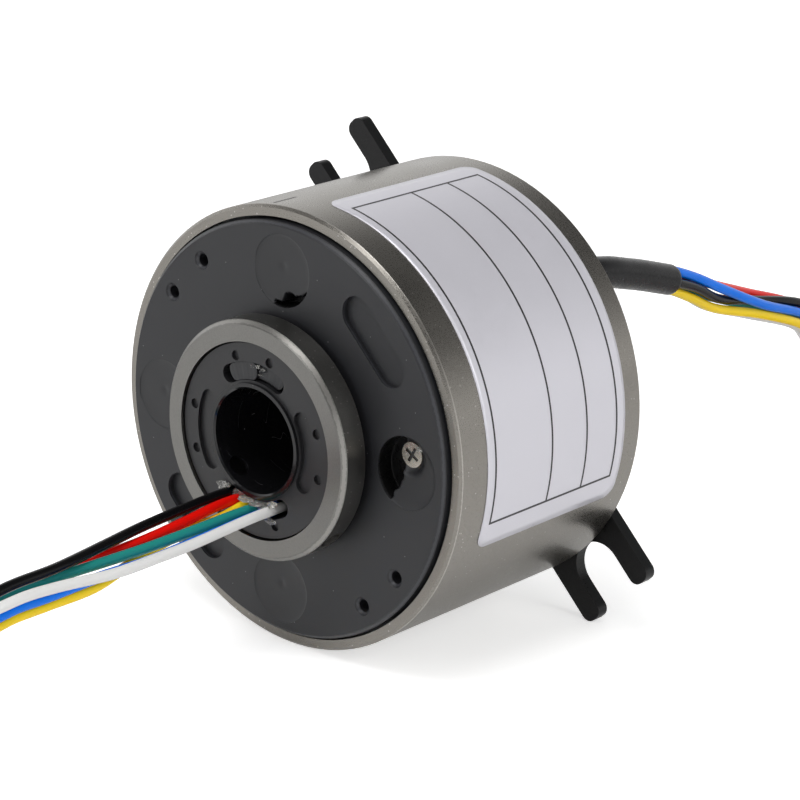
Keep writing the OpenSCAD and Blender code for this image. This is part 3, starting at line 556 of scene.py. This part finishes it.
def scratch_group():
    """Fine scratches and dust: thin lines where a stretched noise crosses its middle value, kept only where a
    second, broad noise is high, and small round specks."""
    inputs = {"Stretch": (300, 300, 300), "Line width": 0.006, "Dust share": 0.05, "Dust scale": 1600,
              "Colour": (0.01, 0.01, 0.01, 1), "Mark colour": (0.25, 0.25, 0.25, 1), "Roughness": 0.2}
    group, given, result = new_group("Scratches and dust", inputs, COLOUR_AND_ROUGHNESS)
    where = new_node(group, "TexCoord", {}).outputs["Object"]
    stretched = new_node(group, "VectorMath", {0: where, 1: given["Stretch"]}, operation="MULTIPLY")
    waves = noise(group, stretched.outputs[0], 1, 1, 0.6)
    line = calculate(group, "COMPARE", waves, 0.5, given["Line width"])
    patch = calculate(group, "GREATER_THAN", noise(group, where, 420, 2), 0.54)
    scratched = calculate(group, "MULTIPLY", line, patch)
    dust = dots(group, where, given["Dust scale"], 1, given["Dust share"], 0.13)
    mark = calculate(group, "MAXIMUM", scratched, dust)
    feed(result, {
        "Colour": blend(group, mark, given["Colour"], given["Mark colour"]),
        "Roughness": calculate(group, "MULTIPLY_ADD", mark, 0.4, given["Roughness"]),
    })
    return group


SCRATCHES = scratch_group()
bore_finish = grained("glossy bore", (0.006, 0.006, 0.007), 0.16, size=2500, depth=0.3, bump=0.08)
paint("rotor_sleeve", over_grain(bore_finish, SCRATCHES, {
    "Stretch": (420, 110, 110), "Line width": 0.0018, "Dust share": 0.012,
    "Mark colour": (0.09, 0.09, 0.09, 1)}))
body_finish = grained("black rotor moulding", (0.012, 0.012, 0.013), 0.3, bump=0.2)
for part in ("rotor_head", "rotor_core"):
    paint(part, body_finish)

# Collar and insert
# The clamping collar is turned from the same aluminium as the tube, and two grub screws pass through it.
# Inside it sits the moulded insert with four kidney-shaped slots, of which the lower one lets the leads out.
COLLAR_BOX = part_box("collar")
COLLAR_EDGE = 0.3 * MM
collar_finish = grained("turned grey collar", (0.205, 0.201, 0.19), 0.37, metallic=1, size=8000, depth=0.12,
                        specks=0.03, speck_colour=(0.42, 0.41, 0.39), bump=0.15)
# A lighter band along both of the collar's edges is a painted highlight.
wear_and_highlight_edges(collar_finish, (COLLAR_BOX[0][0] + COLLAR_EDGE, COLLAR_BOX[1][0]), 0.16 * MM, (0.3, 0.292, 0.275),
           0.34)
paint("collar", collar_finish)
insert_finish = grained("insert moulding", (0.014, 0.014, 0.0155), 0.42, size=6500, depth=0.2, bump=0.12)
paint("insert", over_grain(insert_finish, SCRATCHES, {
    "Stretch": (260, 260, 260), "Line width": 0.0, "Dust share": 0.008, "Dust scale": 2400,
    "Mark colour": (0.14, 0.14, 0.14, 1)}))
for number in (1, 2):
    paint(f"grub_screw_{number}", grained(f"grub screw {number}", (0.05, 0.05, 0.055), 0.35, metallic=1))

# Glue in the insert's slots
# The leads are glued into the lower slot with a clear resin that has run out round them and left the slot's
# end open. The upper slot is filled with dark resin, which has broken at its middle and shines there.
INSERT_FACE_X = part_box("insert")[0][0]
SLOT_R = 8.4 * MM
SLOT_HALF_W = 1.08 * MM
FILL_BACK = 2.3 * MM
LEAD_GLUE_DROPS = (
    ((-0.15, 5.3, -6.75), (0.55, 0.75, 0.5), 0.18, 0.5),
    ((-0.35, 4.35, -6.5), (0.5, 0.6, 0.3), 0.15, 1.7),
    ((-0.3, 1.1, -7.45), (0.75, 1.3, 0.3), 0.15, 2.6),
    ((-0.25, -0.9, -7.6), (0.8, 1.1, 0.35), 0.2, 3.9),
    ((-0.2, -2.9, -7.15), (0.5, 0.55, 0.4), 0.2, 0.2),
    ((-0.05, -2.5, -9.3), (0.3, 0.8, 0.35), 0.2, 5.1),
)
DARK_LUMP = ((0.75, -0.6, 8.75), (0.6, 0.75, 0.4), 0.25, 0.9)
FLAKES = (
    ((0.2, 0.7, 8.95), (0.16, 0.4, 0.16), 0.3, 0.1),
    ((0.15, -0.2, 9.05), (0.2, 0.3, 0.2), 0.3, 1.1),
    ((0.25, -0.95, 8.85), (0.18, 0.35, 0.14), 0.3, 2.2),
    ((0.4, -0.5, 8.1), (0.2, 0.4, 0.12), 0.3, 3.3),
)


def slot_fill(turn_ends, half_w, depth, crown, ripple):
    """A bead along an arc about the axis. Its section is a squashed ring of points whose front is crowned,
    and it shrinks to a point at both ends as a half ellipse does. Sines along the arc raise and lower its
    crown."""
    along = np.sin(np.linspace(-np.pi / 2, np.pi / 2, 62)[1:-1])
    taper = (1 - along ** 8)[:, None] ** 0.5
    turn = np.radians(sum(turn_ends) / 2 + along * (turn_ends[1] - turn_ends[0]) / 2)
    section = np.linspace(0, 2 * np.pi, 28, endpoint=False)
    across = np.sign(np.cos(section)) * np.abs(np.cos(section)) ** 0.6
    lift = np.sin(section)
    wave = 1 + ripple * (np.sin(9 * along) + 0.6 * np.sin(23 * along + 1))
    front = crown * wave[:, None] * np.clip(lift, 0, 1) ** 0.7
    back = (FILL_BACK - depth) * np.clip(-lift, 0, 1) ** 0.4
    front_x = INSERT_FACE_X + depth
    x = front_x + (back - front) * taper
    r = SLOT_R + half_w * across * taper
    rows = np.stack([x, r * np.cos(turn)[:, None], r * np.sin(turn)[:, None]], axis=2)
    tips = [(front_x, SLOT_R * math.cos(end), SLOT_R * math.sin(end)) for end in np.radians(turn_ends)]
    return skin(rows, *tips)


glue = add_piece("lead_glue", *joined([
    slot_fill((253, 299), SLOT_HALF_W, 0.25 * MM, 0.3 * MM, 0.35),
    *(drop(INSERT_FACE_X, *shape) for shape in LEAD_GLUE_DROPS),
]), clear_glue, "rotor")
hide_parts("lead_potting")
dark_fill = add_piece("slot_resin", *joined([
    slot_fill((61, 91), SLOT_HALF_W, 0.1 * MM, 0.04 * MM, 0.2),
    slot_fill((88, 118), 0.8 * MM, 0.45 * MM, 0.05 * MM, 0.2),
    drop(INSERT_FACE_X, *DARK_LUMP),
]), resin_matt, "rotor")
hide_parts("slot_potting")
flake_shapes = joined([drop(INSERT_FACE_X, *shape) for shape in FLAKES])
flakes = add_piece("resin_flakes", *flake_shapes, clear_glue, "rotor")

# Leads
# Six leads leave the rotor through its insert, and six leave the stator in a shrunk sleeve. Each is 300 mm of
# stranded wire in a 1.25 mm coloured jacket. The unused length is wound into a flat coil held by a tie.
LEAD_D = 1.25 * MM
LEAD_LENGTH = 300 * MM
BARE_D = 0.72 * MM
WIND_STEP = 1.4 * MM
COLUMN_STEP = WIND_STEP + 0.15 * MM
WIND_OUTER_R = 18 * MM
TIE_T = 0.3 * MM
FRONT_FOOT_Z = -HOUSING_R
PRONG_FOOT_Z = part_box("rear_cap")[0][2]
PRONG_FOOT_X = 33.4 * MM
REST_SLOPE = (FRONT_FOOT_Z - PRONG_FOOT_Z) / PRONG_FOOT_X
ROTOR_COIL = (-73 * MM, 10 * MM)
STATOR_COIL = (109 * MM, -24 * MM)
JACKETS = {
    "black": (0.004, 0.004, 0.0045),
    "red": (0.8, 0.006, 0.003),
    "yellow": (0.94, 0.66, 0.02),
    "green": (0.02, 0.27, 0.235),
    "blue": (0.002, 0.17, 0.8),
    "white": (0.78, 0.78, 0.77),
}
# The free stretches and the drops below are routed one by one, in millimetres. Each free stretch starts inside
# its exit, and a lead's place is its column and its row in the drop and in the coil.
ROTOR_FREE = {
    "black": [(-2.5, 4.25, -7.35), (-4.9, 4.2, -7.35), (-9, 4.1, -7.3), (-16, 3.4, -7.2), (-22, 2.5, -7.05),
              (-28, 1.5, -7.05), (-36, 0.2, -7.0), (-45, -0.4, -7.0)],
    "red": [(-2.5, 3.1, -7.95), (-4.9, 3.0, -7.95), (-9, 2.8, -7.9), (-15, 2.1, -8.05), (-22, 1.8, -8.35),
            (-29, 2.3, -8.7), (-36, 2.3, -9.1), (-45, 2.2, -9.4)],
    "yellow": [(-2.5, 1.65, -8.25), (-4.9, 1.7, -8.3), (-9, 1.9, -9.05), (-15, 2.4, -9.45),
               (-24, 0.8, -9.9), (-32, -1.5, -10.0), (-39, -1.3, -10.2), (-45, -1.4, -10.3)],
    "green": [(-2.5, 0.3, -8.45), (-4.9, 0.3, -8.45), (-9, 0.4, -8.45), (-15, 0.1, -8.4), (-22, 0.1, -8.45),
              (-29, 0.4, -8.45), (-36, 0.8, -8.4), (-45, 0.9, -8.5)],
    "blue": [(-2.5, -1.05, -8.6), (-4.9, -1.05, -8.75), (-9, -1.1, -8.85), (-16, -1.4, -9.0),
             (-24, -1.7, -9.1), (-32, -2.0, -8.7), (-39, -1.9, -8.9), (-45, -2.0, -8.9)],
    "white": [(-2.5, -2.4, -8.1), (-4.9, -2.4, -8.1), (-9, -2.5, -8.1), (-18, -3.2, -8.2), (-24, -3.4, -8.2),
              (-31, -3.5, -8.1), (-39, -2.8, -7.6), (-45, -2.65, -7.55)],
}
ROTOR_DROP = [(-52.5, -2.0, -10.4), (-57, -3.4, -13.2), (-61, -5.0, -16.5), (-65.5, -6.8, -19.7),
              (-69.5, -7.8, -21.2)]
ROTOR_PLACE = {"black": (1, 2), "red": (1, 0), "yellow": (0, 0), "green": (1, 1), "blue": (0, 1),
               "white": (0, 2)}
# The stator's leads lie round a middle line, each with its own offsets from it, upwards and to the front.
BUNDLE_UP = (0.28, 0.23, 0.93)
BUNDLE_FRONT = (0.05, -0.99, 0.16)
STATOR_MIDDLE = [(53.6, -14.3, 10.4), (55.5, -14.3, 9.8), (59.5, -14.3, 8.2), (65, -14.2, 5.8),
                 (74, -14.1, 2.5), (84, -14.1, -0.8)]
STATOR_LAY = {
    "red": [(1.01, -0.73), (1.01, -0.73), (1.05, -0.75), (1.35, -0.35), (1.6, -1.0), (1.4, -0.78)],
    "black": [(-0.39, 1.19), (-0.39, 1.19), (-0.27, 0.97), (-0.46, 0.6), (0.65, -0.05), (1.4, 0.78)],
    "white": [(-0.45, -1.32), (-0.45, -1.32), (-0.65, -1.75), (-1.4, -1.6), (-1.2, -1.6), (-1.4, -0.78)],
    "blue": [(1.08, 0.85), (1.08, 0.85), (1.05, 0.95), (0.78, 1.38), (0.1, 1.62), (0, 0.9)],
    "yellow": [(-1.34, 0.03), (-1.34, 0.03), (-1.52, 0.0), (-1.74, 0.12), (-1.15, 0.9), (-1.4, 0.78)],
    "green": [(-0.04, -0.06), (-0.04, -0.06), (-0.22, -0.42), (-0.2, -0.85), (0.05, -1.35), (0, -0.78)],
}
STATOR_FREE = {colour: [np.add(middle, np.dot(lay, (BUNDLE_UP, BUNDLE_FRONT)))
                        for middle, lay in zip(STATOR_MIDDLE, lays)]
               for colour, lays in STATOR_LAY.items()}
STATOR_DROP = [(88.8, -12.9, -3.9), (92, -12.2, -6.9), (95, -11.2, -11.0), (97, -10.1, -15.7),
               (98.8, -8.9, -20.3), (100.8, -7.6, -24.6), (103.4, -6.5, -28.1), (106.5, -6.0, -29.5)]
STATOR_PLACE = {"red": (0, 2), "black": (1, 2), "white": (0, 0), "blue": (1, 1), "yellow": (1, 0),
                "green": (0, 1)}


def smooth_jacket(name, colour):
    """Smooth plastic of one colour, as on a wire's jacket."""
    material, _, shader = new_material(name)
    feed(shader, {"Base Color": (*colour, 1), "Roughness": 0.24, "Specular IOR Level": 0.2})
    return material


def smooth_line(points, spacing):
    """A Catmull-Rom curve: each stretch is the cubic through its two ends whose slopes there are half the
    chord between the neighbours. Resampled at an even spacing along its length."""
    p = np.asarray(points, float)
    t = np.linspace(0, 1, 24, endpoint=False)[None, :, None]
    before, after = np.vstack([p[:1], p[:-2]]), np.vstack([p[2:], p[-1:]])
    a, b, c, d = (v[:, None, :] for v in (before, p[:-1], p[1:], after))
    square, cube = 2 * a - 5 * b + 4 * c - d, 3 * b - a - 3 * c + d
    line = 0.5 * (2 * b + (c - a) * t + square * t ** 2 + cube * t ** 3)
    line = np.vstack([line.reshape(-1, 3), p[-1:]])
    run = np.concatenate([[0], np.cumsum(np.linalg.norm(np.diff(line, axis=0), axis=1))])
    even = np.linspace(0, run[-1], int(run[-1] / spacing) + 1)
    return np.stack([np.interp(even, run, line[:, axis]) for axis in range(3)], axis=1)


def wound_lead(free_points, drop_line, place, coil, entry_side):
    """The centreline of one lead: its free stretch, its drop beside the others, then an inward spiral.

    The drop is one line, moved sideways for each column and, in the XZ plane, square to its own slope for
    each row. In the coil the radius falls by two steps in every turn, so the two columns of each turn lie
    against each other. The line joins the spiral at a set turn, and its own last stretch is left out."""
    join_turn = 0.6
    column, row = place
    coil_x, coil_y = coil
    start_r = WIND_OUTER_R - column * WIND_STEP
    falling = np.asarray(drop_line, float) * MM
    slope = np.gradient(falling[:, [0, 2]], axis=0)
    slope *= np.sign(slope[:, :1]) / np.linalg.norm(slope, axis=1)[:, None]
    falling[:, 0] -= (row - 1) * WIND_STEP * slope[:, 1]
    falling[:, 2] += (row - 1) * WIND_STEP * slope[:, 0]
    falling[:, 1] -= entry_side * column * COLUMN_STEP
    if column:
        falling = falling[:-1]
    hanging = np.vstack([np.asarray(free_points, float) * MM, falling])
    row_height = TIE_T + 0.05 * MM + LEAD_D / 2 + row * WIND_STEP
    shrink = 2 * WIND_STEP / (2 * math.pi)

    def spiral(turned):
        radius = start_r - shrink * turned
        angle = entry_side * math.pi / 2 - turned
        x, y = coil_x + radius * np.cos(angle), coil_y + radius * np.sin(angle)
        return np.stack([x, y, FRONT_FOOT_Z - REST_SLOPE * x + row_height], axis=1)

    lead_in = smooth_line(np.vstack([hanging, spiral(np.linspace(0, 2 * join_turn, 7))]), 1.0 * MM)
    entry = np.argmin(np.linalg.norm(lead_in - spiral(np.array([join_turn])), axis=1))
    lead_in = lead_in[:entry]
    used = np.linalg.norm(np.diff(lead_in, axis=0), axis=1).sum()
    left = LEAD_LENGTH - used
    join_r = start_r - shrink * join_turn
    turned = (join_r - math.sqrt(join_r ** 2 - 2 * shrink * left)) / shrink
    rest = spiral(join_turn + np.linspace(0, turned, int(left / (1.1 * MM))))
    return np.vstack([lead_in, rest])


def tube(path, radii, sides):
    """A tube: at each point of the path a circle of the given radius stands square to the path, its zero
    direction being the path's heading crossed with Z. Fans to the path's two ends close it."""
    path = np.asarray(path, float)
    radius = np.broadcast_to(radii, len(path))
    heading = np.gradient(path, axis=0)
    heading /= np.linalg.norm(heading, axis=1)[:, None]
    side = np.cross(heading, (0, 0, 1))
    side /= np.linalg.norm(side, axis=1)[:, None]
    up = np.cross(side, heading)
    angle = np.linspace(0, 2 * np.pi, sides, endpoint=False)
    around = side[:, None] * np.cos(angle)[None, :, None] + up[:, None] * np.sin(angle)[None, :, None]
    return skin(path[:, None] + radius[:, None, None] * around, path[0], path[-1])


def lead_set(side, free, drop_line, places, coil, entry_side):
    """Six coloured leads on one body, each with a bare, tinned end."""
    tinned = grained(f"{side} tinned strands", (0.75, 0.72, 0.68), 0.3, metallic=1)
    for colour, rgb in JACKETS.items():
        path = wound_lead(free[colour], drop_line, places[colour], coil, entry_side)
        jacket = smooth_jacket(f"{side} {colour} jacket", rgb)
        lead = add_piece(f"{side}_{colour}_lead", *tube(path, LEAD_D / 2, 14), jacket, side)
        ahead = path[-1] - path[-2]
        ahead /= np.linalg.norm(ahead)
        bare_path = path[-1] + ahead * np.linspace(-1, 3.5, 6)[:, None] * MM
        bare = add_piece(f"{side}_{colour}_bare_end", *tube(bare_path, BARE_D / 2, 8), tinned, side)
        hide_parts(f"{side}_lead_{colour}")
        if colour == "black":
            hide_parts(f"{side}_coil")


lead_set("rotor", ROTOR_FREE, ROTOR_DROP, ROTOR_PLACE, ROTOR_COIL, -1)
lead_set("stator", STATOR_FREE, STATOR_DROP, STATOR_PLACE, STATOR_COIL, 1)

# Lead sleeve
# Black shrink sleeve holds the six stator leads where they leave the rear cap. It is cut off square at its
# end, where its rim has drawn in round them.
SLEEVE_R = 2 * MM
SLEEVE_RIM = 0.6 * MM
SLEEVE_LINE = ((29.4, -14.3, 14.3), (35.05, -14.3, 14.3), (38, -14.3, 14.3), (41.5, -14.3, 13.8),
               (45, -14.3, 12.9), (48.5, -14.3, 11.95), (52, -14.3, 10.88), (54.95, -14.3, 9.97))
sleeve_path = smooth_line(np.array(SLEEVE_LINE) * MM, 0.3 * MM)
into_rim = np.clip(1 - np.linalg.norm(sleeve_path - sleeve_path[-1], axis=1) / SLEEVE_RIM, 0, 1)
sleeve_radius = SLEEVE_R * (0.985 - 0.16 * into_rim ** 2.2)
sleeve_finish = grained("shrink sleeve", (0.004, 0.004, 0.0045), 0.3, size=1500, depth=0.2, bump=0.05,
                        specular=0.22)
sleeve = add_piece("shrink_sleeve", *tube(sleeve_path, sleeve_radius, 40), sleeve_finish, "stator")
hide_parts("lead_sleeve")

# Coil ties
# A soft black tie is wrapped round each coil of leads. It passes under the coil, through its middle and over
# it, and the ends are pressed together.
TIE_W = 4 * MM
COIL_OUTER_R = WIND_OUTER_R + LEAD_D / 2 + 0.05 * MM
COIL_INNER_R = 8.3 * MM
COIL_H = 2 * WIND_STEP + LEAD_D + 0.1 * MM
TIE_CLEAR = 0.02 * MM
TIE_WALL = 0.24 * MM
TIE_SLOPE = math.atan(REST_SLOPE)
tie_finish = grained("tie", (0.014, 0.014, 0.015), 0.6, size=2500, depth=0.5, bump=0.5)


def tie_band(coil, side):
    """A band with round corners about the coil's section: its outer and inner outlines are two round
    rectangles, carried across the band's width and tilted with the rest plane."""
    inner_y = math.sqrt(COIL_INNER_R ** 2 - TIE_W ** 2 / 4)
    half_long = (COIL_OUTER_R - inner_y) / 2 + TIE_T - TIE_CLEAR
    half_high = COIL_H / 2 + TIE_T - TIE_CLEAR
    outer = round_rectangle(half_long, half_high, 0.55 * MM, 9)
    inner = round_rectangle(half_long - TIE_WALL, half_high - TIE_WALL, 0.32 * MM, 9)
    w = TIE_W / 2 - TIE_CLEAR
    rows = [(outer, -w), (outer, w), (inner, w), (inner, -w), (outer, -w)]
    y_mid = side * (inner_y + COIL_OUTER_R) / 2
    local = np.stack([np.column_stack([np.full(len(o), x), y_mid + o[:, 0], COIL_H / 2 + TIE_T + o[:, 1]])
                      for o, x in rows])
    c, s = math.cos(TIE_SLOPE), math.sin(TIE_SLOPE)
    placed = np.stack([coil[0] + c * local[..., 0] + s * local[..., 2], coil[1] + local[..., 1],
                       FRONT_FOOT_Z - REST_SLOPE * coil[0] - s * local[..., 0] + c * local[..., 2]], axis=2)
    return skin(placed)


for side, coil, away in (("rotor", ROTOR_COIL, 1), ("stator", STATOR_COIL, -1)):
    tie = add_piece(f"{side}_tie", *tie_band(coil, away), tie_finish, side, smooth=False)
    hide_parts(f"{side}_coil_tie")

# Floor, light and camera
# A white sheet lies under the ring, which stands on the foot of its front rim and its lowest prong. A white
# tent is bright at its sides and dim above, leaning a little to the right, with one soft lamp on the right,
# one in front and one above.
WHITE = (1, 1, 1, 1)
FLOOR_HALF = 2.0
FLOOR_CORNERS = ((-FLOOR_HALF, -FLOOR_HALF), (FLOOR_HALF, -FLOOR_HALF), (FLOOR_HALF, FLOOR_HALF),
                 (-FLOOR_HALF, FLOOR_HALF))
TENT_AXIS = (0, -0.25, 1)
SOFTBOXES = {
    "right softbox": ((0.05, -0.75, 0.4), 0.4, 2.0),
    "front softbox": ((-0.8, 0.1, 0.4), 0.5, 1.5),
    "top softbox": ((-0.25, -0.05, 0.8), 0.5, 3.6),
}
CAMERA_AXES = ((0.6685, -0.7435, 0.0182), (0.2296, 0.2295, 0.9458), (-0.7074, -0.6281, 0.3242))
CAMERA_AT = (-0.23076, -0.22253, 0.11378)
CAMERA_LENS = 130.23
SENSOR_W = 36

floor_mesh = bpy.data.meshes.new("floor")
floor_mesh.from_pydata([(x, y, FRONT_FOOT_Z - REST_SLOPE * x) for x, y in FLOOR_CORNERS], [], [(0, 1, 2, 3)])
in_scene("floor", floor_mesh)
floor_paper, tree, shader = new_material("white floor")
rays = new_node(tree, "LightPath", {}).outputs
shown = calculate(tree, "MULTIPLY_ADD", rays["Is Glossy Ray"], 0.3, rays["Is Camera Ray"])
feed(shader, {"Base Color": (0.93, 0.93, 0.93, 1), "Roughness": 0.9, "Specular IOR Level": 0.1,
              "Emission Color": WHITE, "Emission Strength": calculate(tree, "MULTIPLY", shown, 0.52)})
floor_mesh.materials.append(floor_paper)

world = bpy.data.worlds.new("studio")
bpy.context.scene.world = world
world.use_nodes = True
tree = world.node_tree
rays = new_node(tree, "LightPath", {}).outputs
seen = calculate(tree, "MAXIMUM", rays["Is Camera Ray"], rays["Is Transmission Ray"])
sky = new_node(tree, "TexCoord", {}).outputs["Generated"]
height = new_node(tree, "VectorMath", {0: sky, 1: TENT_AXIS}, operation="DOT_PRODUCT").outputs["Value"]
tent = new_node(tree, "MapRange", {"Value": height, "From Min": 0.2, "From Max": 0.7, "To Min": 1.05,
                                   "To Max": 0.1}, interpolation_type="SMOOTHSTEP").outputs["Result"]
feed(tree.nodes["Background"], {"Color": WHITE, "Strength": blend(tree, seen, tent, 1.0, "FLOAT")})


def stand(thing, right, up, back, place):
    """Stands a lamp or a camera at a place, given the directions to its right, up, and behind it."""
    thing.matrix_world = Matrix([*zip(right, up, back, place), (0, 0, 0, 1)])


for name, (place, size, power) in SOFTBOXES.items():
    lamp = bpy.data.lights.new(name, "AREA")
    lamp.shape = "RECTANGLE"
    lamp.size = lamp.size_y = size
    lamp.energy = power
    back = np.array(place) / np.linalg.norm(place)
    right = np.cross((0, 0, 1), back)
    right /= np.linalg.norm(right)
    stand(in_scene(name, lamp), right, np.cross(back, right), back, place)

camera_data = bpy.data.cameras.new("camera")
camera_data.sensor_width = SENSOR_W
camera_data.lens = CAMERA_LENS
camera_data.clip_start = 0.01
camera = in_scene("camera", camera_data)
stand(camera, *CAMERA_AXES, CAMERA_AT)
bpy.context.scene.camera = camera
bpy.context.scene.view_settings.view_transform = "Standard"
